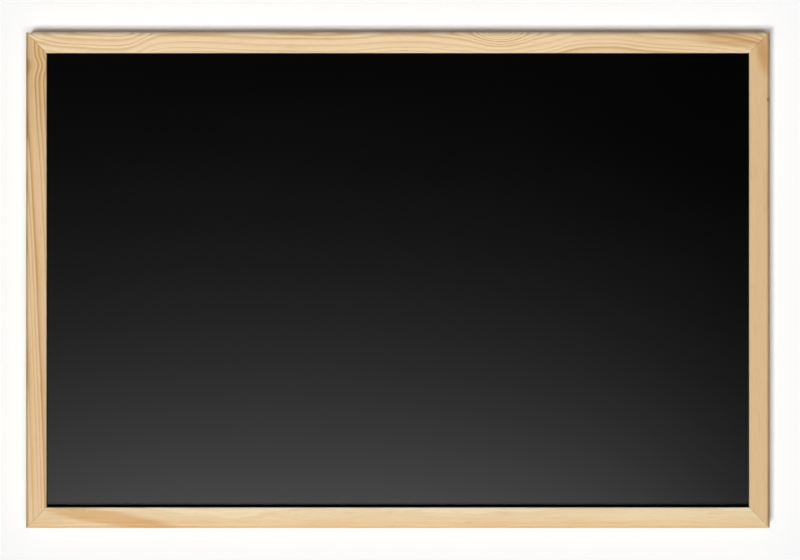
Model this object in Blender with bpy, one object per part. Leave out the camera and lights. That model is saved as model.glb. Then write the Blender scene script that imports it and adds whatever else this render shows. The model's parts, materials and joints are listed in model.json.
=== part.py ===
"""A wall chalkboard.

A black writing sheet is bonded to a hardboard backing, and both sit in the groove of a mitred pine frame.
Steel V-nails, driven in from the back, hold the mitres. Two strap hangers, each with a D-ring that swings
in the fold of its strap, are screwed to the backs of the stiles.

Metres, +Z up. The front faces -Y, and left and right are as seen from the front. The origin is the centre
of the plane that the frame's back lies in, which is the plane of the wall.
"""

import math

import bmesh
import bpy
from mathutils import Matrix, Vector
from mathutils.geometry import interpolate_bezier

# Frame, outside to outside
BOARD_WIDTH = 0.600
BOARD_HEIGHT = 0.400
FRAME_DEPTH = 0.014

# Pine moulding
RAIL_FACE = 0.0170
FRONT_LIP = 0.0040
GROOVE_DEPTH = 0.0050
OUTER_ROUND = 0.0040
INNER_ROUND = 0.0010
BACK_EASE = 0.0006

# Panel
SHEET_THICKNESS = 0.0005
BACKING_THICKNESS = 0.0028

# V-nails in the mitres
NAILS_PER_CORNER = 2
NAIL_THICKNESS = 0.0005
NAIL_HEIGHT = 0.0100
NAIL_LEG = 0.0046
NAIL_SPREAD = math.radians(100)
NAIL_FLARE_LENGTH = 0.0009
NAIL_FLARE = math.radians(35)

# Strap hangers
HANGER_DROP = 0.045
STRAP_WIDTH = 0.0090
STRAP_THICKNESS = 0.0008
FOLD_GAP = 0.00015
FOLD_LEAVE = math.radians(-50)
FOLD_BEND_REACH = 0.0006
RING_WIRE = 0.0018
RING_DROP = 0.0094
RING_SIDE_GAP = 0.0008
RING_BUTT_GAP = 0.0004
SCREW_HEAD = 0.0060
SCREW_HEAD_HEIGHT = 0.0017
SCREW_HEAD_RIM = 0.0007
SCREW_SHANK = 0.0026
SCREW_LENGTH = 0.0100
SCREW_TIP = 0.0022
RECESS_SPAN = 0.0032
RECESS_SLOT = 0.0008
RECESS_DEPTH = 0.0011

# Clearances
SEAT_GAP = 0.0003
MITRE_GAP = 0.0001
PANEL_EDGE_GAP = 0.0007
DRIVE_GAP = 0.00015
RING_RUN_GAP = 0.00025
RING_SCREW_GAP = 0.0005
SCREW_HOLE_GAP = 0.0005
CUT_OVERSHOOT = 0.0010

# Fineness of the round stretches, and of the weld that closes a turned piece
ROUND_STEPS = 8
EASE_STEPS = 2
FOLD_STEPS = 14
BEND_STEPS = 5
END_STEPS = 14
RING_CORNER_STEPS = 5
RING_ARC_STEPS = 22
RING_BEVEL_RESOLUTION = 3
HEAD_STEPS = 5
TURNED_STEPS = 24
WELD = 1e-6
SHARP_ANGLE = math.radians(35)

# Places that follow from the sizes above
GROOVE_FRONT = -FRAME_DEPTH + FRONT_LIP
SHEET_FRONT = GROOVE_FRONT + SEAT_GAP
SHEET_BACK = SHEET_FRONT + SHEET_THICKNESS
BACKING_FRONT = SHEET_BACK + SEAT_GAP
BACKING_BACK = BACKING_FRONT + BACKING_THICKNESS
GROOVE_BACK = BACKING_BACK + SEAT_GAP
SOLID_FACE = RAIL_FACE - GROOVE_DEPTH
PANEL_INSET = SOLID_FACE + PANEL_EDGE_GAP

FOLD_RADIUS = RING_WIRE / 2 + RING_RUN_GAP + STRAP_THICKNESS / 2
BACK_LAYER = -FOLD_RADIUS
FRONT_LAYER = BACK_LAYER + STRAP_THICKNESS + FOLD_GAP
STRAP_FACE = FRONT_LAYER + STRAP_THICKNESS / 2
PIVOT_STANDOFF = SEAT_GAP + STRAP_THICKNESS / 2 + FOLD_RADIUS
RING_HALF = STRAP_WIDTH / 2 + RING_SIDE_GAP + RING_WIRE / 2
RING_CORNER = RING_SIDE_GAP + RING_WIRE / 2
RING_TILT = math.asin((STRAP_FACE + SEAT_GAP + RING_WIRE / 2) / RING_DROP)
SCREW_DROP = RING_DROP + RING_WIRE / 2 + RING_SCREW_GAP + SCREW_HEAD / 2
STRAP_LENGTH = SCREW_DROP + STRAP_WIDTH / 2
HEAD_SEAT = STRAP_FACE + SEAT_GAP


def clear_scene():
    for obj in list(bpy.data.objects):
        bpy.data.objects.remove(obj, do_unlink=True)


def finish(name, colour, roughness, metallic=0.0):
    material = bpy.data.materials.new(name)
    material.use_nodes = True
    shader = material.node_tree.nodes["Principled BSDF"]
    shader.inputs["Base Color"].default_value = (*colour, 1.0)
    shader.inputs["Roughness"].default_value = roughness
    shader.inputs["Metallic"].default_value = metallic
    return material


def arc(centre, radius, start, end, steps):
    """Points on a circle from one angle to another, both ends included, as 2-D vectors."""
    angles = [start + (end - start) * i / steps for i in range(steps + 1)]
    return [Vector(centre) + radius * Vector((math.cos(a), math.sin(a))) for a in angles]


def strip_outline(path, thickness):
    """The closed outline of a strip of even thickness, bent along a path of 2-D points."""
    left, right = [], []
    for i, point in enumerate(path):
        arriving = (point - path[i - 1]).normalized() if i else None
        leaving = (path[i + 1] - point).normalized() if i + 1 < len(path) else arriving
        arriving = arriving or leaving
        along = (arriving + leaving).normalized()
        across = Vector((-along.y, along.x)) * thickness / 2 / along.dot(arriving)
        left.append(point + across)
        right.append(point - across)
    return left + right[::-1]


def extruded(outline, plane, low, high):
    """A closed solid: an outline drawn on two named axes, carried along the third from low to high."""
    first, second = ("XYZ".index(axis) for axis in plane)
    third = 3 - first - second
    bm = bmesh.new()
    base = []
    for point in outline:
        spot = [0.0, 0.0, 0.0]
        spot[first], spot[second], spot[third] = point[0], point[1], low
        base.append(bm.verts.new(spot))
    grown = bmesh.ops.extrude_face_region(bm, geom=[bm.faces.new(base)])
    for vert in grown["geom"]:
        if isinstance(vert, bmesh.types.BMVert):
            vert.co[third] = high
    return bm


def turned(profile):
    """A closed solid: (radius, height) points, both ends on the axis, spun about +Y."""
    bm = bmesh.new()
    points = [bm.verts.new((radius, height, 0)) for radius, height in profile]
    edges = [bm.edges.new(pair) for pair in zip(points, points[1:])]
    bmesh.ops.spin(
        bm, geom=points + edges, cent=(0, 0, 0), axis=(0, 1, 0), angle=math.tau, steps=TURNED_STEPS
    )
    bmesh.ops.remove_doubles(bm, verts=bm.verts, dist=WELD)
    return bm


def rod(radius, low, high):
    """A closed solid: a round rod along Y."""
    return turned([(0, high), (radius, high), (radius, low), (0, low)])


def block(low, high):
    """A closed solid: the box between two corners."""
    low, high = Vector(low), Vector(high)
    bm = bmesh.new()
    bmesh.ops.create_cube(bm, size=1, matrix=Matrix.LocRotScale((low + high) / 2, None, high - low))
    return bm


def add_piece(name, bm, material, parent):
    """One named object of the board, with its own material."""
    bmesh.ops.recalc_face_normals(bm, faces=bm.faces)
    mesh = bpy.data.meshes.new(name)
    bm.to_mesh(mesh)
    bm.free()
    mesh.materials.append(material)
    mesh.shade_smooth()
    mesh.set_sharp_from_angle(angle=SHARP_ANGLE)
    obj = bpy.data.objects.new(name, mesh)
    bpy.context.scene.collection.objects.link(obj)
    obj.parent = parent
    return obj


def add_cutter(name, bm, collection, parent):
    """A helper that only cuts: it isn't rendered and isn't a piece."""
    bmesh.ops.recalc_face_normals(bm, faces=bm.faces)
    mesh = bpy.data.meshes.new(name)
    bm.to_mesh(mesh)
    bm.free()
    obj = bpy.data.objects.new(name, mesh)
    obj.hide_render = True
    obj.display_type = "WIRE"
    collection.objects.link(obj)
    obj.parent = parent
    return obj


def add_empty(name, parent, location=(0, 0, 0)):
    empty = bpy.data.objects.new(name, None)
    bpy.context.scene.collection.objects.link(empty)
    empty.parent = parent
    empty.location = location
    return empty


def cut(obj, cutter, operation="DIFFERENCE"):
    """Cuts an object by another object, or by every object of a collection."""
    boolean = obj.modifiers.new(cutter.name, "BOOLEAN")
    boolean.operation = operation
    if isinstance(cutter, bpy.types.Collection):
        boolean.operand_type = "COLLECTION"
        boolean.collection = cutter
    else:
        boolean.object = cutter


# Frame


def rail_profile():
    """The moulding's section as (distance from the outer edge, depth): rounded in front, grooved inside."""
    front, inner = -FRAME_DEPTH, RAIL_FACE
    half_pi = math.pi / 2
    return [
        *arc((OUTER_ROUND, front + OUTER_ROUND), OUTER_ROUND, math.pi, 3 * half_pi, ROUND_STEPS),
        *arc((inner - INNER_ROUND, front + INNER_ROUND), INNER_ROUND, -half_pi, 0, ROUND_STEPS),
        Vector((inner, GROOVE_FRONT)),
        Vector((SOLID_FACE, GROOVE_FRONT)),
        Vector((SOLID_FACE, GROOVE_BACK)),
        Vector((inner, GROOVE_BACK)),
        *arc((inner - BACK_EASE, -BACK_EASE), BACK_EASE, 0, half_pi, EASE_STEPS),
        *arc((BACK_EASE, -BACK_EASE), BACK_EASE, half_pi, math.pi, EASE_STEPS),
    ]


def add_rail(name, length, turn, wood, wood_cuts, board):
    """One side of the frame. It is drawn as a top rail, with its outer edge at Z 0, then turned about Y."""
    outline = [(depth, -inward) for inward, depth in rail_profile()]
    bm = extruded(outline, "YZ", -1, 1)
    outer_half = length / 2 - MITRE_GAP / math.sqrt(2)
    for vert in bm.verts:
        vert.co.x *= outer_half + vert.co.z
    rail = add_piece(name, bm, wood, board)
    rail.rotation_euler.y = turn
    across = BOARD_WIDTH + BOARD_HEIGHT - length
    rail.location = rail.rotation_euler.to_matrix() @ Vector((0, 0, across / 2))
    cut(rail, wood_cuts)


def add_frame(wood, wood_cuts, board):
    quarter = math.pi / 2
    add_rail("top_rail", BOARD_WIDTH, 0, wood, wood_cuts, board)
    add_rail("right_stile", BOARD_HEIGHT, quarter, wood, wood_cuts, board)
    add_rail("bottom_rail", BOARD_WIDTH, 2 * quarter, wood, wood_cuts, board)
    add_rail("left_stile", BOARD_HEIGHT, -quarter, wood, wood_cuts, board)


# Panel


def add_panel(lacquer, hardboard, board):
    half_width = BOARD_WIDTH / 2 - PANEL_INSET
    half_height = BOARD_HEIGHT / 2 - PANEL_INSET
    layers = [
        ("writing_sheet", SHEET_FRONT, SHEET_BACK, lacquer),
        ("backing_board", BACKING_FRONT, BACKING_BACK, hardboard),
    ]
    for name, front, back, material in layers:
        layer = block((-half_width, front, -half_height), (half_width, back, half_height))
        add_piece(name, layer, material, board)


# V-nails


def nail_outline(inset, out, up, clearance=0.0):
    """A V-nail seen from the back, or with a clearance its slot. Its point lies on the corner's mitre."""
    corner = Vector((out * BOARD_WIDTH / 2, up * BOARD_HEIGHT / 2))
    inwards = Vector((-out, -up))
    path = [Vector((inset, inset))]
    for side in (1, -1):
        leg_turn = math.pi / 4 + side * NAIL_SPREAD / 2
        flare_turn = leg_turn + side * NAIL_FLARE
        flare_length = NAIL_FLARE_LENGTH + clearance
        knee = Vector((inset, inset)) + NAIL_LEG * Vector((math.cos(leg_turn), math.sin(leg_turn)))
        tip = knee + flare_length * Vector((math.cos(flare_turn), math.sin(flare_turn)))
        path = path[::-1] + [knee, tip]
    return strip_outline([corner + inwards * point for point in path], NAIL_THICKNESS + 2 * clearance)


def add_corner_nails(corner_name, out, up, steel, wood_cuts, board):
    """V-nails spread evenly over the solid wood outside the groove, sunk just below the back."""
    head, foot = -SEAT_GAP, -SEAT_GAP - NAIL_HEIGHT
    for n in range(NAILS_PER_CORNER):
        inset = SOLID_FACE * (n + 0.5) / NAILS_PER_CORNER
        name = f"v_nail_{corner_name}_{n + 1}"
        nail = extruded(nail_outline(inset, out, up), "XZ", foot, head)
        slot = extruded(nail_outline(inset, out, up, DRIVE_GAP), "XZ", foot - DRIVE_GAP, CUT_OVERSHOOT)
        add_piece(name, nail, steel, board)
        add_cutter(f"{name}_slot", slot, wood_cuts, board)


# Hangers, drawn about the ring's bar: +Y away from the board, the strap running down


def strap_path():
    """The folded strip's middle line: up the back layer, round the ring's bar, down the front layer."""
    curl = arc((0, 0), FOLD_RADIUS, math.pi, FOLD_LEAVE, FOLD_STEPS)
    heading = Vector((math.sin(FOLD_LEAVE), -math.cos(FOLD_LEAVE)))
    corner = curl[-1] + heading * (FRONT_LAYER - curl[-1].x) / heading.x
    before = corner - heading * FOLD_BEND_REACH
    after = corner - Vector((0, FOLD_BEND_REACH))
    bend = interpolate_bezier(before, corner, corner, after, BEND_STEPS)
    return [Vector((BACK_LAYER, -STRAP_LENGTH)), *curl, *bend, Vector((FRONT_LAYER, -STRAP_LENGTH))]


def add_strap(name, steel, cutters, hanger):
    """A strip folded from a wide blank, trimmed to its rounded outline and pierced for the screw."""
    half_blank = STRAP_WIDTH / 2 + CUT_OVERSHOOT
    blank = extruded(strip_outline(strap_path(), STRAP_THICKNESS), "YZ", -half_blank, half_blank)
    strap = add_piece(name, blank, steel, hanger)
    half, clear = STRAP_WIDTH / 2, FOLD_RADIUS + STRAP_THICKNESS + CUT_OVERSHOOT
    plan = [*arc((0, -SCREW_DROP), half, math.pi, math.tau, END_STEPS), (half, clear), (-half, clear)]
    trim = extruded(plan, "XZ", -clear, clear)
    cut(strap, add_cutter(f"{name}_plan", trim, cutters, hanger), "INTERSECT")
    hole = rod(SCREW_SHANK / 2 + SCREW_HOLE_GAP, -clear, clear)
    bmesh.ops.translate(hole, verts=hole.verts, vec=(0, 0, -SCREW_DROP))
    cut(strap, add_cutter(f"{name}_hole", hole, cutters, hanger))


def add_screw(name, steel, cutters, wood_cuts, hanger):
    """A pan-head wood screw with a cross recess, and the pilot hole that it fills in the stile."""
    radius, rise = SCREW_HEAD / 2, SCREW_HEAD_HEIGHT - SCREW_HEAD_RIM
    dome = (radius**2 + rise**2) / (2 * rise)
    dome_centre = (0, SCREW_HEAD_HEIGHT - dome)
    shank = SCREW_SHANK / 2
    profile = [
        *arc(dome_centre, dome, math.pi / 2, math.acos(radius / dome), HEAD_STEPS),
        (radius, 0),
        (shank, 0),
        (shank, SCREW_TIP - SCREW_LENGTH),
        (0, -SCREW_LENGTH),
    ]
    screw = add_piece(name, turned(profile), steel, hanger)
    screw.location = (0, HEAD_SEAT, -SCREW_DROP)
    floor, mouth = SCREW_HEAD_HEIGHT - RECESS_DEPTH, SCREW_HEAD_HEIGHT + CUT_OVERSHOOT
    for arm, wide, tall in (("across", RECESS_SPAN, RECESS_SLOT), ("down", RECESS_SLOT, RECESS_SPAN)):
        slot = block((-wide / 2, floor, -tall / 2), (wide / 2, mouth, tall / 2))
        cut(screw, add_cutter(f"{name}_recess_{arm}", slot, cutters, screw))
    pilot = rod(shank + DRIVE_GAP, -SCREW_LENGTH - DRIVE_GAP, 0)
    add_cutter(f"{name}_pilot", pilot, wood_cuts, screw)


def ring_path():
    """The D-ring's middle line, from one end of the wire in the fold, round the D, to the other end."""
    corner_half, arc_height = RING_HALF - RING_CORNER, RING_HALF - RING_DROP
    quarter = math.pi / 2
    return [
        Vector((RING_BUTT_GAP / 2, 0)),
        *arc((corner_half, -RING_CORNER), RING_CORNER, quarter, 0, RING_CORNER_STEPS),
        *arc((0, arc_height), RING_HALF, 0, -math.pi, RING_ARC_STEPS),
        *arc((-corner_half, -RING_CORNER), RING_CORNER, math.pi, quarter, RING_CORNER_STEPS),
        Vector((-RING_BUTT_GAP / 2, 0)),
    ]


def add_ring(name, steel, hinge):
    """A wire bent to a D, as a bevelled curve whose bar lies on the hinge."""
    wire = bpy.data.curves.new(name, "CURVE")
    wire.dimensions = "3D"
    wire.bevel_depth = RING_WIRE / 2
    wire.bevel_resolution = RING_BEVEL_RESOLUTION
    wire.use_fill_caps = True
    path = ring_path()
    spline = wire.splines.new("POLY")
    spline.points.add(len(path) - 1)
    for point, spot in zip(spline.points, path):
        point.co = (spot.x, 0, spot.y, 1)
    wire.materials.append(steel)
    ring = bpy.data.objects.new(name, wire)
    bpy.context.scene.collection.objects.link(ring)
    ring.parent = hinge


def add_hanger(hand, out, steel, cutters, wood_cuts, board):
    """A strap, its screw and its swinging ring, on the middle of a stile's back."""
    pivot = (out * (BOARD_WIDTH - RAIL_FACE) / 2, PIVOT_STANDOFF, BOARD_HEIGHT / 2 - HANGER_DROP)
    hanger = add_empty(f"{hand}_hanger", board, pivot)
    add_strap(f"{hand}_hanger_strap", steel, cutters, hanger)
    add_screw(f"{hand}_hanger_screw", steel, cutters, wood_cuts, hanger)
    hinge = add_empty(f"{hand}_ring_hinge", hanger)
    hinge.rotation_euler.x = RING_TILT
    add_ring(f"{hand}_hanger_ring", steel, hinge)


def main():
    clear_scene()
    pine = finish("pine", (0.80, 0.58, 0.34), 0.55)
    lacquer = finish("black_chalk_lacquer", (0.012, 0.012, 0.012), 0.55)
    hardboard = finish("hardboard", (0.27, 0.16, 0.085), 0.85)
    zinc = finish("zinc_plated_steel", (0.62, 0.63, 0.64), 0.32, 1.0)
    nail_steel = finish("nail_steel", (0.42, 0.42, 0.43), 0.45, 1.0)

    board = add_empty("chalkboard", None)
    wood_cuts = bpy.data.collections.new("wood_cuts")
    hardware_cuts = bpy.data.collections.new("hardware_cuts")
    for collection in (wood_cuts, hardware_cuts):
        bpy.context.scene.collection.children.link(collection)

    add_frame(pine, wood_cuts, board)
    add_panel(lacquer, hardboard, board)
    for hand, out in (("left", -1), ("right", 1)):
        add_corner_nails(f"top_{hand}", out, 1, nail_steel, wood_cuts, board)
        add_corner_nails(f"bottom_{hand}", out, -1, nail_steel, wood_cuts, board)
        add_hanger(hand, out, zinc, hardware_cuts, wood_cuts, board)


main()
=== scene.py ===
"""The looks of a wall chalkboard: a black writing sheet in a mitred pine frame.

Metres, +Z up, the front faces -Y. Left and right are as seen from the front. The sections follow the
board as it is put together: panel, frame, V-nails, hangers, and then the studio round it.
"""

import json
import math

import bmesh
import bpy
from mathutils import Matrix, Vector


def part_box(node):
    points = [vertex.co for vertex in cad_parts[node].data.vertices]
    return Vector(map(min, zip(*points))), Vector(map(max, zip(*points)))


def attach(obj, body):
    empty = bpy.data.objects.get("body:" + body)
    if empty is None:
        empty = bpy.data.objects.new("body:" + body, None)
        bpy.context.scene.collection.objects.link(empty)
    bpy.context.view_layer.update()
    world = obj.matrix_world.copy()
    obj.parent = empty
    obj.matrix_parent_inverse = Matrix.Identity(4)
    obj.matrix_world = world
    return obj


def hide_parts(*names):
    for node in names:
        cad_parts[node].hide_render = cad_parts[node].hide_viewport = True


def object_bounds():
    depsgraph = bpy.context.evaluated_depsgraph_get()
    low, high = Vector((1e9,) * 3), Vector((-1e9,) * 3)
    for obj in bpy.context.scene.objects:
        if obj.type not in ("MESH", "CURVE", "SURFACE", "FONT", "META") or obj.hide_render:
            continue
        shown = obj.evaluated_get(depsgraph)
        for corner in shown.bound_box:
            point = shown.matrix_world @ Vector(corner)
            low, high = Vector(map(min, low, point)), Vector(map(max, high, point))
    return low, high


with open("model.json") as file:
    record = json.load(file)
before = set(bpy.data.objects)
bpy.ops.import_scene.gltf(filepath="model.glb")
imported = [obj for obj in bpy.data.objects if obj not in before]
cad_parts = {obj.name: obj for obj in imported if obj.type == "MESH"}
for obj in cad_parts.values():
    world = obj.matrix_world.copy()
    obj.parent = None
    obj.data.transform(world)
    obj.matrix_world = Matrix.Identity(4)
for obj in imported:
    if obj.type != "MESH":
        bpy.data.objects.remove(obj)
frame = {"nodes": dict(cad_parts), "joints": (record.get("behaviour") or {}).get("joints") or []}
cad_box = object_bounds()


# Backing board. A sheet of brown hardboard that stiffens the writing sheet from behind. It is pressed
# from wood fibre on a wire screen, which leaves a fine square mesh on its back. It sits in the frame's
# groove, behind the writing sheet.
HARDBOARD_BROWN = (0.205, 0.104, 0.045)
HARDBOARD_DARK = (0.098, 0.046, 0.019)
HARDBOARD_PALE = (0.330, 0.190, 0.092)
SCREEN_PITCH = 0.0021
SCREEN_RELIEF = 0.00016
FIBRE_WAVES = 3 * (950.0,)
CLOUD_WAVES = 3 * (34.0,)


def shader_node(tree, kind, inputs=None, **settings):
    """Adds a node. An input given as another node's output is linked, any other is set."""
    node = tree.nodes.new("ShaderNode" + kind)
    for setting, value in settings.items():
        setattr(node, setting, value)
    for socket, value in (inputs or {}).items():
        if isinstance(value, bpy.types.NodeSocket):
            tree.links.new(value, node.inputs[socket])
        else:
            node.inputs[socket].default_value = value
    return node


def calc(tree, operation, *values):
    """The result of a Math node."""
    return shader_node(tree, "Math", dict(enumerate(values)), operation=operation).outputs[0]


def mix_colour(tree, factor, first, second, blend="MIX"):
    """The result of a colour Mix node."""
    inputs = {0: factor}
    for socket, colour in ((6, first), (7, second)):
        inputs[socket] = colour if isinstance(colour, bpy.types.NodeSocket) else (*colour, 1.0)
    return shader_node(tree, "Mix", inputs, data_type="RGBA", blend_type=blend).outputs[2]


def shade_colour(tree, colour, shade):
    """A colour made lighter or darker by one value."""
    grey = shader_node(tree, "CombineColor", {0: shade, 1: shade, 2: shade}).outputs[0]
    return mix_colour(tree, 1.0, colour, grey, "MULTIPLY")


def steps(tree, value, low, high, out_low=0.0, out_high=1.0):
    """A value carried smoothly from one range to another, and held at the ends."""
    inputs = {"Value": value, "From Min": low, "From Max": high, "To Min": out_low, "To Max": out_high}
    return shader_node(tree, "MapRange", inputs, interpolation_type="SMOOTHSTEP").outputs[0]


def vector_calc(tree, operation, first, second):
    """The results of a Vector Math node."""
    return shader_node(tree, "VectorMath", {0: first, 1: second}, operation=operation).outputs


def noise(tree, place, waves, detail=2.0, roughness=0.5):
    """Noise with so many waves to the metre along each axis."""
    scaled = vector_calc(tree, "MULTIPLY", place, waves)[0]
    inputs = {"Vector": scaled, "Scale": 1.0, "Detail": detail, "Roughness": roughness}
    return shader_node(tree, "TexNoise", inputs).outputs["Fac"]


def surface(name, **settings):
    """A new material; the settings are plain values on its Principled shader."""
    material = bpy.data.materials.new(name)
    material.use_nodes = True
    shader = material.node_tree.nodes["Principled BSDF"]
    for socket, value in settings.items():
        shader.inputs[socket.replace("_", " ")].default_value = value
    return material, material.node_tree, shader


def object_place(tree):
    """The place on a piece, in metres, as its mesh has it."""
    return shader_node(tree, "TexCoord").outputs["Object"]


def raise_surface(tree, shader, height, relief):
    """Gives a surface fine relief, in metres for a height of 1."""
    bump = shader_node(tree, "Bump", {"Height": height, "Distance": relief, "Strength": 1.0})
    tree.links.new(bump.outputs[0], shader.inputs["Normal"])


hardboard, tree, shader = surface("pressed_hardboard")
place = object_place(tree)
axes = shader_node(tree, "SeparateXYZ", {0: place})
turns = math.tau / SCREEN_PITCH
across = calc(tree, "SINE", calc(tree, "MULTIPLY", axes.outputs["X"], turns))
upward = calc(tree, "SINE", calc(tree, "MULTIPLY", axes.outputs["Z"], turns))
mesh_print = calc(tree, "MULTIPLY", across, upward)
fibres = noise(tree, place, FIBRE_WAVES, detail=4.0, roughness=0.65)
clouds = noise(tree, place, CLOUD_WAVES, detail=5.0, roughness=0.62)
pits = steps(tree, mesh_print, -0.9, 0.5)
colour = mix_colour(tree, pits, HARDBOARD_DARK, HARDBOARD_BROWN)
colour = mix_colour(tree, steps(tree, fibres, 0.55, 0.75), colour, HARDBOARD_PALE)
colour = mix_colour(tree, steps(tree, fibres, 0.42, 0.28), colour, HARDBOARD_DARK)
colour = shade_colour(tree, colour, steps(tree, clouds, 0.3, 0.7, 0.93, 1.05))
tree.links.new(colour, shader.inputs["Base Color"])
tree.links.new(steps(tree, fibres, 0.3, 0.7, 0.58, 0.76), shader.inputs["Roughness"])
raise_surface(tree, shader, calc(tree, "ADD", mesh_print, fibres), SCREEN_RELIEF)
frame["nodes"]["backing_board"].material_slots[0].material = hardboard


# Writing sheet. Thin sheet steel, sprayed black with a satin chalkboard lacquer. It lies on the front of
# the backing board, and the frame's front lip covers its edges.
LACQUER_BLACK = (0.0002, 0.0002, 0.0002)
LACQUER_WORN = (0.0005, 0.0005, 0.00045)
LACQUER_ROUGHNESS = 0.55
SPRAY_WAVES = 3 * (1700.0,)
SPRAY_RELIEF = 0.000006
WIPE_WAVES = (7.0, 7.0, 16.0)

lacquer, tree, shader = surface("satin_chalk_lacquer")
place = object_place(tree)
spray = noise(tree, place, SPRAY_WAVES)
wiped = noise(tree, place, WIPE_WAVES, detail=3.0)
colour = mix_colour(tree, steps(tree, wiped, 0.4, 0.7), LACQUER_BLACK, LACQUER_WORN)
tree.links.new(colour, shader.inputs["Base Color"])
roughness = calc(tree, "ADD", steps(tree, wiped, 0.3, 0.7, -0.006, 0.006), LACQUER_ROUGHNESS)
roughness = calc(tree, "ADD", roughness, steps(tree, spray, 0.3, 0.7, -0.008, 0.008))
tree.links.new(roughness, shader.inputs["Roughness"])
raise_surface(tree, shader, spray, SPRAY_RELIEF)
frame["nodes"]["writing_sheet"].material_slots[0].material = lacquer


# Frame. Four lengths of pine moulding with a matt seal, planed with a full round on the outer front edge,
# a small one on the inner, and a groove for the panel. Their ends are mitred and meet at the corners, and
# the backs are slotted for the V-nails and bored for the hangers' screws.
OUTER_ROUND, OUTER_STEPS = 0.0040, 10
INNER_ROUND, INNER_STEPS = 0.0010, 5
BACK_EASE, BACK_STEPS = 0.0006, 3
MITRE_EASE, MITRE_STEPS = 0.00016, 2
PANEL_GAP = 0.0003
GROOVE_DEPTH = 0.0050
DRIVE_GAP = 0.00015
SLOT_OPEN = 0.0008
PILOT_RADIUS = 0.0013
BORE_SIDES = 32
SMOOTH_ANGLE = math.radians(35)
FACE_WEIGHT = 60
FLAT_ANGLE = math.radians(1)
CLOSE = 1e-5
WELD = CLOSE / 10
SLIVER = 2 * CLOSE
QUARTER = math.pi / 2


def start_piece(name, primitive, size=(1, 1, 1), **settings):
    """Adds a primitive on its own, named, with its place and size in its mesh, and opens it for editing."""
    if bpy.context.mode != "OBJECT":
        bpy.ops.object.mode_set(mode="OBJECT")
    bpy.ops.object.select_all(action="DESELECT")
    primitive(**settings)
    piece = bpy.context.object
    piece.name = piece.data.name = name
    piece.scale = size
    settle(piece)
    bpy.ops.object.mode_set(mode="EDIT")
    return piece


def cube_of_one(**settings):
    """A cube with sides of 1, to be sized by start_piece."""
    bpy.ops.mesh.primitive_cube_add(size=1, **settings)


def settle(piece):
    """Carries an object's place, turn and size into its mesh."""
    bpy.ops.object.select_all(action="DESELECT")
    piece.select_set(True)
    bpy.context.view_layer.objects.active = piece
    bpy.ops.object.transform_apply(location=True, rotation=True, scale=True)


def select(piece, kind, wanted):
    """In edit mode, selects the verts, edges or faces that pass a test, and nothing else."""
    bpy.ops.mesh.select_mode(type={"verts": "VERT", "edges": "EDGE", "faces": "FACE"}[kind])
    bpy.ops.mesh.select_all(action="DESELECT")
    bm = bmesh.from_edit_mesh(piece.data)
    for element in getattr(bm, kind):
        if wanted(element):
            element.select_set(True)
    bmesh.update_edit_mesh(piece.data)


def lies_on(axis, level, reach=CLOSE):
    """A test: all of an edge's or face's corners are at one level on an axis."""
    return lambda element: all(abs(v.co[axis] - level) < reach for v in element.verts)


def both(*tests):
    """A test that is passed by what passes all of these."""
    return lambda element: all(test(element) for test in tests)


def apply_modifier(piece, kind, **settings):
    """Gives a piece a modifier and applies it."""
    bpy.context.view_layer.objects.active = piece
    modifier = piece.modifiers.new(kind.lower(), kind)
    for setting, value in settings.items():
        setattr(modifier, setting, value)
    bpy.ops.object.modifier_apply(modifier=modifier.name)


def cut_away(piece, cutter):
    """Takes a cutter's shape out of a piece, and throws the cutter away."""
    apply_modifier(piece, "BOOLEAN", operation="DIFFERENCE", solver="EXACT", object=cutter)
    bpy.data.objects.remove(cutter, do_unlink=True)


def finish_smooth(piece):
    """Shades rounds smooth and keeps flats flat."""
    bpy.ops.object.select_all(action="DESELECT")
    piece.select_set(True)
    bpy.context.view_layer.objects.active = piece
    bpy.ops.object.shade_smooth_by_angle(angle=SMOOTH_ANGLE)
    apply_modifier(piece, "WEIGHTED_NORMAL", mode="FACE_AREA", weight=FACE_WEIGHT, keep_sharp=True)


def slot_cutter(nail):
    """A V-nail's shape, grown by its drive gap and carried out through the rail's back."""
    bpy.ops.object.select_all(action="DESELECT")
    cutter = bpy.data.objects.new("slot_" + nail, frame["nodes"][nail].data.copy())
    bpy.context.scene.collection.objects.link(cutter)
    bpy.context.view_layer.objects.active = cutter
    cutter.select_set(True)
    bpy.ops.object.mode_set(mode="EDIT")
    bpy.ops.mesh.select_all(action="SELECT")
    bpy.ops.mesh.remove_doubles(threshold=WELD)
    bpy.ops.mesh.dissolve_limited(angle_limit=FLAT_ANGLE)
    bpy.ops.transform.shrink_fatten(value=DRIVE_GAP, use_even_offset=True)
    back = max(v.co.y for v in bmesh.from_edit_mesh(cutter.data).verts)
    select(cutter, "faces", lies_on(1, back))
    bpy.ops.transform.translate(value=(0, SLOT_OPEN, 0))
    bpy.ops.object.mode_set(mode="OBJECT")
    return cutter


def bore_cutter(screw):
    """The pilot hole of a hanger's screw."""
    low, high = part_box(screw)
    middle = (low + high) / 2
    tip = low.y - DRIVE_GAP
    bpy.ops.object.select_all(action="DESELECT")
    bpy.ops.mesh.primitive_cylinder_add(
        vertices=BORE_SIDES, radius=PILOT_RADIUS + DRIVE_GAP, depth=high.y - tip,
        location=(middle.x, (high.y + tip) / 2, middle.z), rotation=(QUARTER, 0, 0),
    )
    return bpy.context.object


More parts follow.
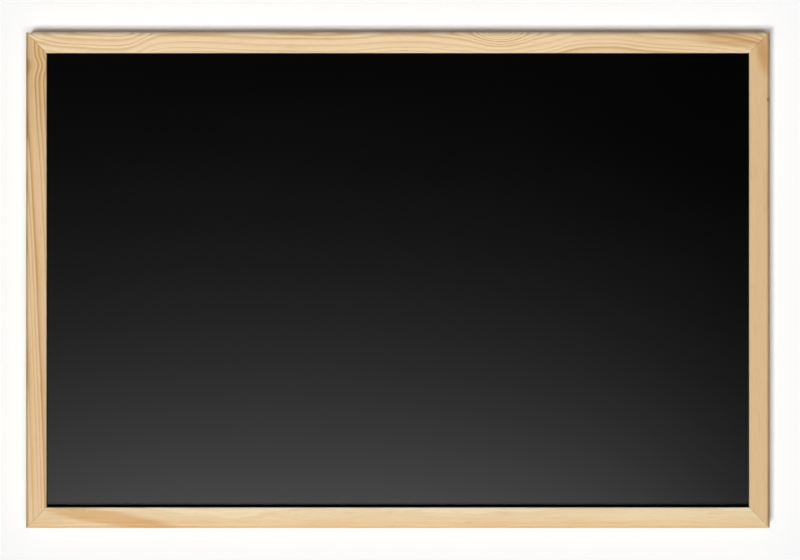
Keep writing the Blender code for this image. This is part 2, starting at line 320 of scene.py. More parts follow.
def model_rail(name, node, turn, cutters):
    """A length of moulding, modelled as the top rail lies and then turned to its own side."""
    low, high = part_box(node)
    upright = abs(math.sin(turn)) > 0.5
    out = max(abs(low.x), abs(high.x)) if upright else max(abs(low.z), abs(high.z))
    reach = max(abs(low.z), abs(high.z)) if upright else max(abs(low.x), abs(high.x))
    face = high.x - low.x if upright else high.z - low.z
    front, back, inner = low.y, high.y, out - face
    rail = start_piece(
        name, cube_of_one, size=(2 * reach, back - front, face),
        location=(0, (front + back) / 2, (out + inner) / 2),
    )
    rounds = (
        (front, out, OUTER_ROUND, OUTER_STEPS), (front, inner, INNER_ROUND, INNER_STEPS),
        (back, out, BACK_EASE, BACK_STEPS), (back, inner, BACK_EASE, BACK_STEPS),
    )
    for depth, height, radius, segments in rounds:
        select(rail, "edges", both(lies_on(1, depth), lies_on(2, height)))
        bpy.ops.mesh.bevel(offset=radius, segments=segments, profile=0.5, affect="EDGES")
    groove = (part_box("writing_sheet")[0].y - PANEL_GAP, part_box("backing_board")[1].y + PANEL_GAP)
    for side in groove:
        select(rail, "faces", lies_on(2, inner))
        bpy.ops.mesh.bisect(plane_co=(0, side, 0), plane_no=(0, 1, 0))
    middle, half = sum(groove) / 2, (groove[1] - groove[0]) / 2
    select(rail, "faces", both(lies_on(2, inner), lies_on(1, middle, half + CLOSE)))
    bpy.ops.mesh.extrude_region_move(TRANSFORM_OT_translate={"value": (0, 0, GROOVE_DEPTH)})
    for end in (-1, 1):
        bpy.ops.mesh.select_all(action="SELECT")
        bpy.ops.mesh.bisect(
            plane_co=(end * reach, 0, out), plane_no=(end, 0, -1), use_fill=True, clear_outer=True
        )
    for end in (-1, 1):
        select(rail, "edges", lambda edge: all(
            abs(end * v.co.x - reach - v.co.z + out) < CLOSE for v in edge.verts
        ))
        bpy.ops.mesh.bevel(offset=MITRE_EASE, segments=MITRE_STEPS, profile=0.5, affect="EDGES")
    bpy.ops.object.mode_set(mode="OBJECT")
    rail.rotation_euler = (0, turn, 0)
    settle(rail)
    for cutter in cutters:
        cut_away(rail, cutter)
    # Where a cut meets a bevel, slivers are left, and they are merged so that the mesh stays closed.
    bpy.ops.object.mode_set(mode="EDIT")
    bpy.ops.mesh.select_all(action="SELECT")
    bpy.ops.mesh.remove_doubles(threshold=SLIVER)
    bpy.ops.mesh.dissolve_degenerate(threshold=SLIVER)
    bpy.ops.object.mode_set(mode="OBJECT")
    finish_smooth(rail)
    apply_modifier(rail, "TRIANGULATE", min_vertices=5, ngon_method="BEAUTY", keep_custom_normals=True)
    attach(rail, "board")
    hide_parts(node)
    return rail


def nails_at(*corners):
    """The cutters of the V-nails at these corners."""
    return [slot_cutter(f"v_nail_{corner}_{n}") for corner in corners for n in (1, 2)]


top_rail = model_rail("top_rail_moulding", "top_rail", 0.0, nails_at("top_left", "top_right"))
right_stile = model_rail(
    "right_stile_moulding", "right_stile", QUARTER,
    nails_at("top_right", "bottom_right") + [bore_cutter("right_hanger_screw")],
)
bottom_rail = model_rail(
    "bottom_rail_moulding", "bottom_rail", math.pi, nails_at("bottom_left", "bottom_right")
)
left_stile = model_rail(
    "left_stile_moulding", "left_stile", -QUARTER,
    nails_at("top_left", "bottom_left") + [bore_cutter("left_hanger_screw")],
)


def shader_group(name, inputs, outputs):
    """A new node group: its tree, its input node and its output node."""
    group = bpy.data.node_groups.new(name, "ShaderNodeTree")
    for socket, kind in inputs:
        group.interface.new_socket(socket, in_out="INPUT", socket_type="NodeSocket" + kind)
    for socket, kind in outputs:
        group.interface.new_socket(socket, in_out="OUTPUT", socket_type="NodeSocket" + kind)
    return group, group.nodes.new("NodeGroupInput").outputs, group.nodes.new("NodeGroupOutput").inputs


# Growth rings: shells round the log's heart, which wanders along the rail. Each ring darkens slowly and
# ends sharply, and fibres, streaks and resin canals run along it. Waves are to the metre, x along the rail.
SLOW_WAVES = (11.0, 60.0, 60.0)
QUICK_WAVES = (45.0, 260.0, 260.0)
QUICK_SHARE = 0.22
DEPTH_SHARE = 0.5
WOOD_FIBRE_WAVES = (55.0, 2300.0, 2300.0)
STREAK_WAVES = (14.0, 520.0, 520.0)
TONE_WAVES = (8.0, 75.0, 75.0)
CANAL_WAVES = (110.0, 2600.0, 2600.0)
CANAL_SHARE = 0.22
RESIN_BROWN = (0.36, 0.19, 0.075)
UNEVEN_RATE = 0.55
UNEVEN_SHARE = 1.25
FIBRE_JITTER = 0.10
RING_ENDS = 0.16
RING_SHADES = ((0.10, 0.03), (0.38, 0.14), (0.64, 0.58), (0.83, 1.0), (0.94, 0.78))
LINE_GLOSS = 0.07
LINE_HEIGHT = 0.5

grain, given, result = shader_group(
    "pine_grain",
    [
        ("Place", "Vector"), ("Heart", "Vector"), ("Drift", "Float"), ("Ring Width", "Float"),
        ("Wander", "Float"), ("Line Strength", "Float"), ("Early Wood", "Color"), ("Late Wood", "Color"),
    ],
    [("Colour", "Color"), ("Roughness", "Float"), ("Height", "Float")],
)


def around_zero(tree, value, share=1.0):
    """Noise that goes from 0 to 1, brought round zero and given its share."""
    centred = calc(tree, "SUBTRACT", value, 0.5)
    return centred if share == 1.0 else calc(tree, "MULTIPLY", centred, share)


slow = noise(grain, given["Place"], SLOW_WAVES)
quick = noise(grain, given["Place"], QUICK_WAVES)
fibre = noise(grain, given["Place"], WOOD_FIBRE_WAVES, detail=3.0, roughness=0.6)
streak = noise(grain, given["Place"], STREAK_WAVES, detail=3.0, roughness=0.6)
tone = noise(grain, given["Place"], TONE_WAVES)
resin = noise(grain, given["Place"], CANAL_WAVES, detail=0.0)

sway = calc(grain, "ADD", around_zero(grain, slow), around_zero(grain, quick, QUICK_SHARE))
sway = calc(grain, "MULTIPLY", sway, given["Wander"])
from_heart = vector_calc(grain, "SUBTRACT", given["Place"], given["Heart"])[0]
from_heart = shader_node(grain, "SeparateXYZ", {0: from_heart}).outputs
height = calc(grain, "ADD", calc(grain, "SUBTRACT", from_heart["Z"], given["Drift"]), sway)
depth = calc(grain, "ADD", from_heart["Y"], calc(grain, "MULTIPLY", sway, DEPTH_SHARE))
height_squared = calc(grain, "MULTIPLY", height, height)
depth_squared = calc(grain, "MULTIPLY", depth, depth)
radius = calc(grain, "SQRT", calc(grain, "ADD", height_squared, depth_squared))

count = calc(grain, "DIVIDE", radius, given["Ring Width"])
year = calc(grain, "MULTIPLY", count, UNEVEN_RATE)
uneven = shader_node(grain, "TexNoise", {"W": year, "Scale": 1.0, "Detail": 1.0}, noise_dimensions="1D")
count = calc(grain, "ADD", count, around_zero(grain, uneven.outputs["Fac"], UNEVEN_SHARE))
count = calc(grain, "ADD", count, around_zero(grain, fibre, FIBRE_JITTER))
ring = shader_node(grain, "FloatCurve", {"Value": calc(grain, "FRACT", count)})
curve = ring.mapping.curves[0]
for x, y in RING_SHADES:
    curve.points.new(x, y)
curve.points[0].location = (0.0, RING_ENDS)
curve.points[-1].location = (1.0, RING_ENDS)
ring.mapping.update()
own = shader_node(grain, "TexWhiteNoise", {"W": calc(grain, "FLOOR", count)}, noise_dimensions="1D")
own = steps(grain, own.outputs["Value"], 0.0, 1.0, 0.40, 1.0)
line = calc(grain, "MULTIPLY", ring.outputs[0], own)

dark = calc(grain, "MULTIPLY", line, given["Line Strength"])
dark = calc(grain, "ADD", dark, steps(grain, tone, 0.35, 0.70, -0.12, 0.14))
dark = calc(grain, "ADD", dark, steps(grain, streak, 0.3, 0.7, -0.07, 0.07))
dark = shader_node(grain, "Clamp", {0: dark}).outputs[0]
colour = mix_colour(grain, dark, given["Early Wood"], given["Late Wood"])
colour = shade_colour(grain, colour, steps(grain, fibre, 0.25, 0.75, 0.97, 1.03))
canal = calc(grain, "MULTIPLY", steps(grain, resin, 0.70, 0.80), CANAL_SHARE)
colour = mix_colour(grain, canal, colour, RESIN_BROWN)
roughness = steps(grain, fibre, 0.3, 0.7, 0.64, 0.74)
roughness = calc(grain, "SUBTRACT", roughness, calc(grain, "MULTIPLY", line, LINE_GLOSS))
relief = calc(grain, "ADD", calc(grain, "MULTIPLY", line, LINE_HEIGHT), fibre)
grain.links.new(colour, result["Colour"])
grain.links.new(roughness, result["Roughness"])
grain.links.new(relief, result["Height"])

# A soft patch, full at its centre: a knot that the rings bend round, or a tinted mark. The marks are stains
# and tone in the wood, and on some rails painted light and shade.
patch, given, result = shader_group(
    "pine_patch",
    [("Place", "Vector"), ("Centre", "Vector"), ("Half Size", "Vector")],
    [("Mask", "Float")],
)
offset = vector_calc(patch, "SUBTRACT", given["Place"], given["Centre"])[0]
share = vector_calc(patch, "DIVIDE", offset, given["Half Size"])[0]
away = vector_calc(patch, "DOT_PRODUCT", share, share)["Value"]
patch.links.new(calc(patch, "EXPONENT", calc(patch, "MULTIPLY", away, -0.5)), result["Mask"])

DRIFT_LENGTH = 0.6
DRIFT_HEIGHT = 0.04
RAGGED_WAVES = (26.0, 420.0, 420.0)
RAGGED_SHARE = 0.9
GRAIN_RELIEF = 0.00003
SEAL_GLOSS = 0.3


def patch_mask(tree, place, centre, half_size):
    """How much of a patch there is at a place."""
    inputs = {"Place": place, "Centre": centre, "Half Size": half_size}
    return shader_node(tree, "Group", inputs, node_tree=patch).outputs["Mask"]


def pine(name, turn, out, heart, ring_width, wander, strength, early, late, drift, knots=(), stains_and_painted_light=()):
    """The finish of one rail, in the rail's own frame: x along it, z from its outer edge.

    drift: the heart's height along the rail, as (x, z). knots: (centre, half size, how far the rings dip,
    how much darker they are). stains_and_painted_light: (centre, half size, slope, tint, where its edge
    starts and ends);
    stains and tone in the wood, and on some rails painted light and shade on the front round.
    """
    material, tree, shader = surface(name, Specular_IOR_Level=SEAL_GLOSS)
    place = shader_node(tree, "Mapping", {
        "Vector": object_place(tree), "Rotation": (0, -turn, 0), "Location": (0, 0, -out),
    }).outputs[0]
    axes = shader_node(tree, "SeparateXYZ", {0: place}).outputs
    curve = shader_node(tree, "FloatCurve", {
        "Value": calc(tree, "MULTIPLY_ADD", axes["X"], 1 / DRIFT_LENGTH, 0.5),
    })
    points = curve.mapping.curves[0].points
    shaped = [(x / DRIFT_LENGTH + 0.5, z / DRIFT_HEIGHT + 0.5) for x, z in drift]
    points[0].location, points[-1].location = shaped[0], shaped[-1]
    for x, z in shaped[1:-1]:
        points.new(x, z)
    curve.mapping.update()
    bend = around_zero(tree, curve.outputs[0], DRIFT_HEIGHT)
    for centre, half_size, dip, boost in knots:
        mask = patch_mask(tree, place, centre, half_size)
        bend = calc(tree, "SUBTRACT", bend, calc(tree, "MULTIPLY", mask, dip))
        strength = calc(tree, "MULTIPLY_ADD", mask, boost, strength)
    wood = shader_node(tree, "Group", {
        "Place": place, "Heart": (0.0, *heart), "Drift": bend, "Ring Width": ring_width, "Wander": wander,
        "Line Strength": strength, "Early Wood": (*early, 1.0), "Late Wood": (*late, 1.0),
    }, node_tree=grain).outputs
    colour = wood["Colour"]
    ragged = noise(tree, place, RAGGED_WAVES, detail=3.0)
    ragged = calc(tree, "MULTIPLY_ADD", ragged, RAGGED_SHARE, 1.0 - RAGGED_SHARE / 2)
    # Each mark tints the colour: stains and tone in the wood, and painted light and shade on some rails'
    # front rounds.
    for centre, half_size, slope, stain_and_light_tint, fade in stains_and_painted_light:
        lean = calc(tree, "MULTIPLY", calc(tree, "SUBTRACT", axes["X"], centre[0]), slope)
        straight = shader_node(tree, "CombineXYZ", {
            0: axes["X"], 1: axes["Y"], 2: calc(tree, "SUBTRACT", axes["Z"], lean),
        }).outputs[0]
        streaked = calc(tree, "MULTIPLY", patch_mask(tree, straight, centre, half_size), ragged)
        colour = mix_colour(tree, steps(tree, streaked, *fade), colour, stain_and_light_tint, "MULTIPLY")
    tree.links.new(colour, shader.inputs["Base Color"])
    tree.links.new(wood["Roughness"], shader.inputs["Roughness"])
    raise_surface(tree, shader, wood["Height"], GRAIN_RELIEF)
    return material


# A mark of FLAT depth goes right through the rail. One at ROUND_END keeps to the rail's front round;
# on the top rail it is painted light there, and on the bottom rail and the right stile painted shade.
HALF_WIDTH = 0.3
HALF_HEIGHT = 0.2
ALL_ALONG = 0.60
FLAT = 0.05
ROUND_END = -0.0115
ROUND_REACH = 0.003
SOFT_EDGE = (0.0, 1.0)
CRISP_EDGE = (0.16, 0.62)
# A paler, less yellow line along each rail's inner edge.
PALE_INNER_EDGE = ((0.0, 0.0, -0.0167), (ALL_ALONG, FLAT, 0.0007), 0.0, (1.02, 1.09, 1.20), SOFT_EDGE)
top_rail.data.materials.append(pine(
    "pine_top_rail", 0.0, HALF_HEIGHT, heart=(0.045, -0.060),
    ring_width=0.0028, wander=0.007, strength=0.85,
    early=(0.925, 0.700, 0.432), late=(0.630, 0.380, 0.146),
    drift=(
        (-0.300, 0.003), (-0.228, -0.014), (-0.186, -0.003), (-0.103, -0.005), (-0.047, -0.0055),
        (0.010, -0.0025), (0.050, -0.0055), (0.082, -0.006), (0.115, -0.004), (0.163, 0.004),
        (0.204, 0.001), (0.248, -0.002), (0.300, -0.014),
    ),
    knots=(((0.0824, 0.0, 0.002), (0.014, FLAT, 0.0095), 0.017, 0.8),),
    stains_and_painted_light=(
        ((0.262, 0.0, -0.004), (0.034, FLAT, 0.0050), -0.15, (0.80, 0.70, 0.58), SOFT_EDGE),
        ((0.215, 0.0, -0.008), (0.060, FLAT, 0.0200), 0.0, (0.95, 0.93, 0.90), SOFT_EDGE),
        # Painted light: the front round, which faces up and away from the low lamps, is made paler.
        ((0.0, ROUND_END, -0.0015), (ALL_ALONG, ROUND_REACH, 0.0016), 0.0, (1.03, 1.08, 1.17), SOFT_EDGE),
        PALE_INNER_EDGE,
    ),
))
left_stile.data.materials.append(pine(
    "pine_left_stile", -QUARTER, HALF_WIDTH, heart=(0.040, -0.060),
    ring_width=0.0028, wander=0.003, strength=1.0,
    early=(0.808, 0.568, 0.322), late=(0.545, 0.305, 0.104),
    drift=(
        (-0.300, -0.008), (-0.200, -0.006), (-0.100, -0.003), (0.000, 0.001), (0.080, 0.005),
        (0.150, 0.0095), (0.160, 0.0098), (0.166, 0.0092), (0.173, 0.0076), (0.181, 0.0100),
        (0.190, 0.0104), (0.200, 0.010), (0.300, 0.014),
    ),
    knots=(((0.165, 0.0, -0.006), (0.030, FLAT, 0.014), 0.0, 0.9),),
    stains_and_painted_light=(
        ((0.160, 0.0, -0.008), (0.040, FLAT, 0.020), 0.0, (0.94, 0.91, 0.86), SOFT_EDGE),
        ((0.0, ROUND_END, -0.0007), (ALL_ALONG, ROUND_REACH, 0.0013), 0.0, (0.70, 0.66, 0.60), SOFT_EDGE),
        PALE_INNER_EDGE,
    ),
))
bottom_rail.data.materials.append(pine(
    "pine_bottom_rail", math.pi, HALF_HEIGHT, heart=(0.036, -0.004),
    ring_width=0.0034, wander=0.007, strength=0.50,
    early=(0.885, 0.715, 0.465), late=(0.720, 0.450, 0.190),
    drift=(
        (-0.300, 0.002), (-0.200, -0.004), (-0.080, 0.003), (0.050, -0.003), (0.150, 0.006),
        (0.220, -0.002), (0.300, -0.010),
    ),
    stains_and_painted_light=(
        ((0.234, 0.0, -0.0085), (0.040, FLAT, 0.0042), -0.16, (0.88, 0.76, 0.62), CRISP_EDGE),
        ((0.236, 0.0, -0.0110), (0.050, FLAT, 0.0052), -0.13, (0.96, 0.90, 0.83), SOFT_EDGE),
        ((0.0, 0.0, -0.001), (ALL_ALONG, FLAT, 0.0055), 0.0, (0.94, 0.83, 0.70), SOFT_EDGE),
        # Painted shade: the front round, which faces down towards the low lamps, is made darker.
        ((0.0, ROUND_END, -0.0024), (ALL_ALONG, ROUND_REACH, 0.0009), 0.0, (0.91, 0.88, 0.88), SOFT_EDGE),
        PALE_INNER_EDGE,
    ),
))
right_stile.data.materials.append(pine(
    "pine_right_stile", QUARTER, HALF_WIDTH, heart=(0.040, -0.010),
    ring_width=0.0030, wander=0.006, strength=0.35,
    early=(0.750, 0.515, 0.285), late=(0.580, 0.350, 0.142),
    drift=(
        (-0.300, 0.010), (-0.200, 0.004), (-0.160, -0.004), (-0.050, 0.002), (0.060, -0.003),
        (0.140, 0.004), (0.200, 0.009), (0.300, 0.012),
    ),
    stains_and_painted_light=(
        ((-0.186, 0.0, -0.0045), (0.0150, FLAT, 0.0050), 0.08, (0.92, 0.84, 0.75), CRISP_EDGE),
        ((-0.182, 0.0, -0.0060), (0.0100, FLAT, 0.0028), 0.08, (0.88, 0.80, 0.71), SOFT_EDGE),
        ((-0.1455, 0.0, -0.0016), (0.0011, FLAT, 0.0009), 0.0, (0.50, 0.36, 0.24), SOFT_EDGE),
        # Painted shade: the front round, on the side away from the main lamp, is made darker.
        ((0.0, ROUND_END, -0.0005), (ALL_ALONG, ROUND_REACH, 0.0013), 0.0, (0.66, 0.66, 0.67), SOFT_EDGE),
        PALE_INNER_EDGE,
    ),
))


# V-nails. Short strips of sharpened steel, rolled to a V, driven across each mitre from the back, two to
# a corner. Only their back edges show.
NAIL_STEEL = (0.30, 0.31, 0.33)
NAIL_SCALE = (0.17, 0.165, 0.16)
SCALE_WAVES = (900.0, 300.0, 900.0)
SCALE_RELIEF = 0.00002

nail_steel, tree, shader = surface("rolled_nail_steel", Metallic=1.0)
place = object_place(tree)
scale = noise(tree, place, SCALE_WAVES, detail=4.0, roughness=0.6)
colour = mix_colour(tree, steps(tree, scale, 0.45, 0.7), NAIL_STEEL, NAIL_SCALE)
tree.links.new(colour, shader.inputs["Base Color"])
tree.links.new(steps(tree, scale, 0.3, 0.7, 0.34, 0.52), shader.inputs["Roughness"])
raise_surface(tree, shader, scale, SCALE_RELIEF)
for node in sorted(frame["nodes"]):
    if node.startswith("v_nail_"):
        frame["nodes"][node].material_slots[0].material = nail_steel


# Hanger straps. Narrow strips of zinc-plated steel, folded double round the ring's bar, with rounded ends
# and a hole through both layers. A screw holds each to the back of a stile.
STRAP_WIDTH = 0.0090
STRAP_THICKNESS = 0.0008
STRAP_LENGTH = 0.0183
FOLD_RADIUS, FOLD_STEPS = 0.00155, 18
FOLD_LEAVE = math.radians(50)
OUTER_LAYER = -0.0006
BEND_TANGENT, BEND_STEPS = 0.0006, 6
END_STEPS = 14
SCREW_DROP = 0.0138
HOLE_RADIUS = 0.0018
HOLE_CUT = 0.012
STRAP_EDGE, EDGE_STEPS = 0.00012, 2
EDGE_ANGLE = math.radians(40)
ZINC_GREY = (0.62, 0.63, 0.64)
ZINC_BLUE = (0.50, 0.54, 0.60)
ZINC_STRAW = (0.66, 0.62, 0.52)
BLOOM_WAVES = 3 * (260.0,)
SPANGLE_WAVES = (1500.0, 1500.0, 420.0)
SPANGLE_RELIEF = 0.000008

zinc, tree, shader = surface("zinc_plated_steel", Metallic=1.0)
place = object_place(tree)
bloom = noise(tree, place, BLOOM_WAVES, detail=3.0)
spangle = noise(tree, place, SPANGLE_WAVES, detail=3.0, roughness=0.6)
colour = mix_colour(tree, steps(tree, bloom, 0.5, 0.75), ZINC_GREY, ZINC_BLUE)
colour = mix_colour(tree, steps(tree, bloom, 0.45, 0.25), colour, ZINC_STRAW)
tree.links.new(colour, shader.inputs["Base Color"])
tree.links.new(steps(tree, spangle, 0.3, 0.7, 0.26, 0.42), shader.inputs["Roughness"])
raise_surface(tree, shader, spangle, SPANGLE_RELIEF)


def plane_of_one(**settings):
    """A square with sides of 1, to be sized by start_piece."""
    bpy.ops.mesh.primitive_plane_add(size=1, **settings)


pivots = {joint["child"]: Vector(joint["pos_m"]) for joint in frame["joints"]}
pivot = pivots["left_ring"]
strap = start_piece(
    "left_hanger_folded_strap", plane_of_one, size=(STRAP_WIDTH, STRAP_LENGTH, 1),
    location=pivot + Vector((0, -FOLD_RADIUS, -STRAP_LENGTH / 2)), rotation=(QUARTER, 0, 0),
)
select(strap, "edges", lies_on(2, pivot.z))
bpy.ops.mesh.spin(steps=FOLD_STEPS, angle=math.pi + FOLD_LEAVE, center=pivot, axis=(1, 0, 0))
leave = Vector((0, -math.sin(FOLD_LEAVE), -math.cos(FOLD_LEAVE)))
fold_end = FOLD_RADIUS * Vector((0, math.cos(FOLD_LEAVE), -math.sin(FOLD_LEAVE)))
run = (OUTER_LAYER - fold_end.y) / leave.y
bpy.ops.mesh.extrude_region_move(TRANSFORM_OT_translate={"value": leave * (run - BEND_TANGENT)})
bend_radius = BEND_TANGENT / math.tan(FOLD_LEAVE / 2)
bend_end = fold_end + leave * run + Vector((0, 0, -BEND_TANGENT))
bend_centre = pivot + bend_end + Vector((0, bend_radius, 0))
bpy.ops.mesh.spin(steps=BEND_STEPS, angle=FOLD_LEAVE, center=bend_centre, axis=(-1, 0, 0))
bpy.ops.mesh.extrude_region_move(
    TRANSFORM_OT_translate={"value": (0, 0, -STRAP_LENGTH - bend_end.z)}
)
foot = pivot.z - STRAP_LENGTH
select(strap, "verts", lambda vert: vert.co.z < foot + CLOSE)
bpy.ops.mesh.bevel(offset=STRAP_WIDTH / 2 - CLOSE, segments=END_STEPS, affect="VERTICES")
bpy.ops.mesh.select_all(action="SELECT")
bpy.ops.mesh.remove_doubles(threshold=WELD)
bpy.ops.object.mode_set(mode="OBJECT")
apply_modifier(strap, "SOLIDIFY", thickness=STRAP_THICKNESS, offset=0.0, use_even_offset=True)
bpy.ops.object.mode_set(mode="EDIT")
bpy.ops.mesh.select_all(action="SELECT")
bpy.ops.mesh.normals_make_consistent(inside=False)
bpy.ops.object.mode_set(mode="OBJECT")
bpy.ops.object.select_all(action="DESELECT")
bpy.ops.mesh.primitive_cylinder_add(
    vertices=BORE_SIDES, radius=HOLE_RADIUS, depth=HOLE_CUT,
    location=pivot - Vector((0, 0, SCREW_DROP)), rotation=(QUARTER, 0, 0),
)
cut_away(strap, bpy.context.object)
apply_modifier(
    strap, "BEVEL", width=STRAP_EDGE, segments=EDGE_STEPS, limit_method="ANGLE", angle_limit=EDGE_ANGLE
)
finish_smooth(strap)
strap.data.materials.append(zinc)


def carry_over(piece, name, shift):
    """A copy of a finished piece for the other hanger, with its own mesh."""
    twin = piece.copy()
    twin.data = piece.data.copy()
    twin.name = twin.data.name = name
    bpy.context.scene.collection.objects.link(twin)
    bpy.ops.object.select_all(action="DESELECT")
    twin.location = shift
    settle(twin)
    return twin


to_right = pivots["right_ring"] - pivots["left_ring"]
right_strap = carry_over(strap, "right_hanger_folded_strap", to_right)
for piece, node in ((strap, "left_hanger_strap"), (right_strap, "right_hanger_strap")):
    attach(piece, "board")
    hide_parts(node)


# Hanger rings. Zinc-plated wire bent to a D, its two ends meeting on the bar, inside the strap's fold.
# Each swings in its fold, and hangs against its strap.
WIRE_RADIUS, WIRE_SIDES = 0.0009, 20
RING_HALF = 0.0062
RING_CORNER, CORNER_STEPS = 0.0017, 6
BOW_CENTRE, BOW_STEPS = 0.0032, 26
BUTT_HALF = 0.0002
RING_TILT = math.radians(6.11)

ring = start_piece(
    "left_hanger_wire_ring", bpy.ops.mesh.primitive_circle_add, vertices=WIRE_SIDES, radius=WIRE_RADIUS,
    fill_type="NGON", location=(BUTT_HALF, 0, 0), rotation=(0, QUARTER, 0),
)


def draw_wire(*value):
    """Carries the wire's end straight on."""
    bpy.ops.mesh.extrude_region_move(TRANSFORM_OT_translate={"value": value})


def bend_wire(angle, segments, *centre):
    """Carries the wire's end round a centre."""
    bpy.ops.mesh.spin(steps=segments, angle=angle, center=centre, axis=(0, -1, 0))


bar = RING_HALF - RING_CORNER
draw_wire(bar - BUTT_HALF, 0, 0)
bend_wire(QUARTER, CORNER_STEPS, bar, 0, -RING_CORNER)
draw_wire(0, 0, RING_CORNER - BOW_CENTRE)
bend_wire(math.pi, BOW_STEPS, 0, 0, -BOW_CENTRE)
draw_wire(0, 0, BOW_CENTRE - RING_CORNER)
bend_wire(QUARTER, CORNER_STEPS, -bar, 0, -RING_CORNER)
draw_wire(bar - BUTT_HALF, 0, 0)
bpy.ops.mesh.select_all(action="SELECT")
bpy.ops.mesh.remove_doubles(threshold=WELD)
bpy.ops.mesh.normals_make_consistent(inside=False)
bpy.ops.object.mode_set(mode="OBJECT")
ring.rotation_euler = (RING_TILT, 0, 0)
ring.location = pivot
settle(ring)
finish_smooth(ring)
ring.data.materials.append(zinc)
right_ring = carry_over(ring, "right_hanger_wire_ring", to_right)
for piece, body, node in (
    (ring, "left_ring", "left_hanger_ring"), (right_ring, "right_ring", "right_hanger_ring")
):
    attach(piece, body)
    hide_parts(node)


# Hanger screws. Zinc-plated pan-head wood screws with a cross recess, one through each strap into the
# stile's back.
HEAD_RADIUS, HEAD_SIDES = 0.0030, 40
HEAD_HEIGHT = 0.0017
HEAD_CROWN, CROWN_STEPS = 0.0011, 6
SHANK_RADIUS = 0.0013
TIP_LENGTH = 0.0022
RECESS_SPAN = 0.0032
RECESS_SLOT = 0.0008
RECESS_DEPTH = 0.0011
RECESS_TAPER = 0.6

low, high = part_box("left_hanger_screw")
crown = high.y
seat = crown - HEAD_HEIGHT
axis_x, axis_z = (low.x + high.x) / 2, (low.z + high.z) / 2
screw = start_piece(
    "left_hanger_pan_screw", bpy.ops.mesh.primitive_cylinder_add, vertices=HEAD_SIDES, radius=HEAD_RADIUS,
    depth=HEAD_HEIGHT, location=(axis_x, (crown + seat) / 2, axis_z), rotation=(QUARTER, 0, 0),
)
select(screw, "edges", lies_on(1, crown))
bpy.ops.mesh.bevel(offset=HEAD_CROWN, segments=CROWN_STEPS, profile=0.5, affect="EDGES")
select(screw, "faces", lies_on(1, seat))
bpy.ops.mesh.inset(thickness=HEAD_RADIUS - SHANK_RADIUS)
bpy.ops.mesh.extrude_region_move(
    TRANSFORM_OT_translate={"value": (0, low.y + TIP_LENGTH - seat, 0)}
)
bpy.ops.mesh.extrude_region_move(TRANSFORM_OT_translate={"value": (0, -TIP_LENGTH, 0)})
bpy.ops.mesh.merge(type="CENTER")
bpy.ops.object.mode_set(mode="OBJECT")
for quarter in (0, 1):
    arm = start_piece(
        "recess_arm", cube_of_one, size=(RECESS_SPAN, RECESS_DEPTH + 2 * CLOSE, RECESS_SLOT),
        location=(axis_x, crown - RECESS_DEPTH / 2 + CLOSE, axis_z), rotation=(0, quarter * QUARTER, 0),
    )
    select(arm, "faces", lies_on(1, crown - RECESS_DEPTH))
    bpy.ops.transform.resize(
        value=(RECESS_TAPER, 1, RECESS_TAPER), center_override=(axis_x, crown, axis_z)
    )
    bpy.ops.object.mode_set(mode="OBJECT")
    cut_away(screw, arm)
finish_smooth(screw)
screw.data.materials.append(zinc)
right_screw = carry_over(screw, "right_hanger_pan_screw", to_right)
for piece, node in ((screw, "left_hanger_screw"), (right_screw, "right_hanger_screw")):
    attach(piece, "board")
    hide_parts(node)


# Studio. A white wall that the board hangs on and a pale floor well below it. Both show to the camera
# alone, and only from their front, so that the board's back can be looked at too. They take its shadow,
# and neither holds light off the board nor throws any back on it.
WALL_PLACE = 0.0046
WALL_TOP = 3.0
WALL_REACH = 3.0
WALL_COLOUR = (0.945, 0.945, 0.945)
WALL_GLOW = 0.05
FLOOR_GLOW = 0.90
FLOOR_LEVEL = -0.90
FLOOR_REACH = 2.2
WHITE = (1.0, 1.0, 1.0, 1.0)
scene = bpy.context.scene


def flat_sheet(name, corners, material, hidden_from):
    """A single face for the stage, which some kinds of ray don't meet."""
    mesh = bpy.data.meshes.new(name)
    mesh.from_pydata(corners, [], [range(len(corners))])
    mesh.materials.append(material)
    sheet = bpy.data.objects.new(name, mesh)
    scene.collection.objects.link(sheet)
    for ray in hidden_from:
        setattr(sheet, "visible_" + ray, False)


def stage_paint(name, glow):
    """A matt white that is clear from behind, and that glows a little to the camera."""
    material, tree, shader = surface(
        name, Base_Color=(*WALL_COLOUR, 1.0), Roughness=1.0, Specular_IOR_Level=0.0, Emission_Color=WHITE
    )
    seen = shader_node(tree, "LightPath").outputs["Is Camera Ray"]
    tree.links.new(calc(tree, "MULTIPLY", seen, glow), shader.inputs["Emission Strength"])
    behind = shader_node(tree, "NewGeometry").outputs["Backfacing"]
    clear = shader_node(tree, "BsdfTransparent").outputs[0]
    either = shader_node(tree, "MixShader", {0: behind, 1: shader.outputs[0], 2: clear})
    tree.links.new(either.outputs[0], tree.nodes["Material Output"].inputs["Surface"])
    return material


flat_sheet(
    "white_wall",
    [
        (-WALL_REACH, WALL_PLACE, FLOOR_LEVEL), (WALL_REACH, WALL_PLACE, FLOOR_LEVEL),
        (WALL_REACH, WALL_PLACE, WALL_TOP), (-WALL_REACH, WALL_PLACE, WALL_TOP),
    ],
    stage_paint("white_wall", WALL_GLOW), ("shadow", "diffuse", "glossy", "transmission"),
)
flat_sheet(
    "pale_floor",
    [
        (-WALL_REACH, -FLOOR_REACH, FLOOR_LEVEL), (WALL_REACH, -FLOOR_REACH, FLOOR_LEVEL),
        (WALL_REACH, FLOOR_REACH, FLOOR_LEVEL), (-WALL_REACH, FLOOR_REACH, FLOOR_LEVEL),
    ],
    stage_paint("pale_floor", FLOOR_GLOW), ("shadow", "diffuse", "glossy", "transmission"),
)


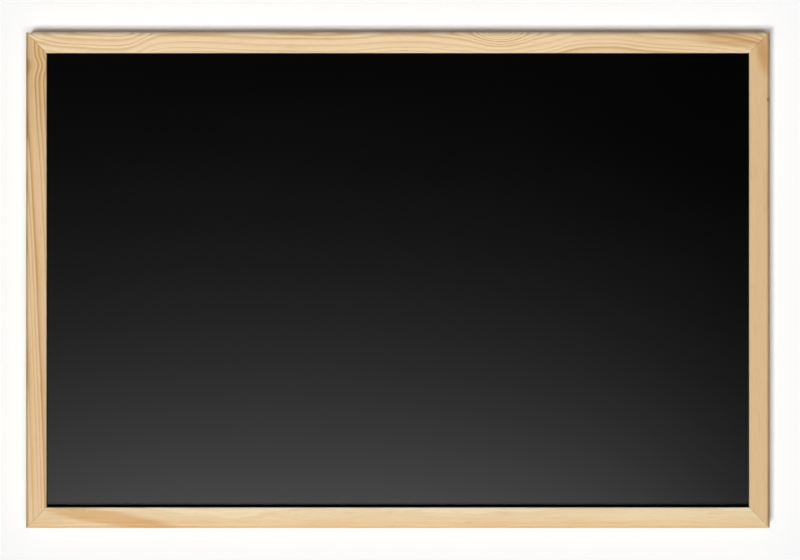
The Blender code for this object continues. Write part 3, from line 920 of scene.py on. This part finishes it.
# Gap. The space between the board and the wall is dark, so a black sheet just behind the frame takes the
# light that is thrown back and forth there. Only bounced light meets it, and nothing shows it.
GAP_PLACE = 0.0002
GAP_BLACK = (0.0, 0.0, 0.0, 1.0)

gap_low, gap_high = cad_box[0], cad_box[1]
flat_sheet(
    "dark_gap",
    [
        (gap_low.x, GAP_PLACE, gap_low.z), (gap_high.x, GAP_PLACE, gap_low.z),
        (gap_high.x, GAP_PLACE, gap_high.z), (gap_low.x, GAP_PLACE, gap_high.z),
    ],
    surface("dark_gap", Base_Color=GAP_BLACK)[0], ("camera", "shadow", "glossy", "transmission"),
)


# Light. A soft main lamp, low and to the left, and a weaker one on the right throw the thin shadow above
# and beside the frame. A wide lamp fills it, a low one near the board gives the lacquer its sheen, and one
# overhead lights the top rail's round. Two more light the back.
FAR_WIDTH = 0.32
MIDDLE = (0.0, 0.0, 0.0)


def lamp(name, place, power, aim=MIDDLE, size=None, spread=math.pi, glossy=False, diffuse=True):
    """A rectangular lamp; without a size, a far one as wide as FAR_WIDTH, whose light falls evenly."""
    light = bpy.data.lights.new(name, "AREA" if size else "SUN")
    if size:
        light.shape = "RECTANGLE"
        light.size, light.size_y = size
        light.spread = spread
    else:
        light.angle = FAR_WIDTH
    light.energy = power
    source = bpy.data.objects.new(name, light)
    scene.collection.objects.link(source)
    source.location = place
    source.rotation_euler = (Vector(aim) - Vector(place)).to_track_quat("-Z", "Y").to_euler()
    source.visible_camera = False
    source.visible_glossy = glossy
    source.visible_diffuse = diffuse


lamp("main_lamp", (-3.10, -10.0, -3.80), 2.44)
lamp("side_lamp", (2.80, -10.0, -3.80), 0.72)
lamp("fill_lamp", (0.6, -4.0, 0.8), 9.0, size=(5.0, 4.0))
lamp(
    "sheen_lamp", (-0.0747, -0.4839, -0.5840), 2.236, aim=(-0.1138, 0, -0.3287),
    size=(0.736, 0.3566), spread=1.113, glossy=True, diffuse=False,
)
lamp("top_lamp", (0, 0.25, 1.6), 3.2, size=(1.6, 0.3))
lamp("back_lamp_high", (-1.1, 1.7, 1.3), 58.0, size=(1.2, 1.2))
lamp("back_lamp_low", (1.3, 1.5, 0.2), 29.0, size=(1.0, 1.6))


# World. White to the camera. Metal on the back mirrors that white, brighter from overhead, and a dimmer
# light from behind reaches the board. From the front it gives none.
BACK_DIM = 0.45

world = scene.world or bpy.data.worlds.new("studio")
scene.world = world
world.use_nodes = True
tree = world.node_tree
tree.nodes.clear()
toward = shader_node(tree, "TexCoord").outputs["Generated"]
toward = shader_node(tree, "SeparateXYZ", {0: toward}).outputs
behind = steps(tree, toward["Y"], -0.1, 0.7)
overhead = steps(tree, toward["Z"], -0.5, 0.4, 0.5, 1.4)
path = shader_node(tree, "LightPath").outputs
mirrored = calc(tree, "MULTIPLY", path["Is Glossy Ray"], calc(tree, "MULTIPLY", behind, overhead))
shown = calc(tree, "MAXIMUM", path["Is Camera Ray"], mirrored)
bright = calc(tree, "MAXIMUM", shown, calc(tree, "MULTIPLY", behind, BACK_DIM))
background = shader_node(tree, "Background", {"Color": WHITE, "Strength": bright})
output = shader_node(tree, "OutputWorld")
tree.links.new(background.outputs[0], output.inputs[0])


# Camera. Straight in front of the board, far enough off for nearly no perspective.
LENS = 100.0
SENSOR_WIDTH = 36.0
CAMERA_PLACE = (0.0017, -1.8038, 0.0001)

camera_data = bpy.data.cameras.new("front_camera")
camera_data.lens = LENS
camera_data.sensor_width = SENSOR_WIDTH
camera = bpy.data.objects.new("front_camera", camera_data)
scene.collection.objects.link(camera)
camera.location = CAMERA_PLACE
camera.rotation_euler = (QUARTER, 0, 0)
scene.camera = camera
scene.view_settings.view_transform = "Standard"
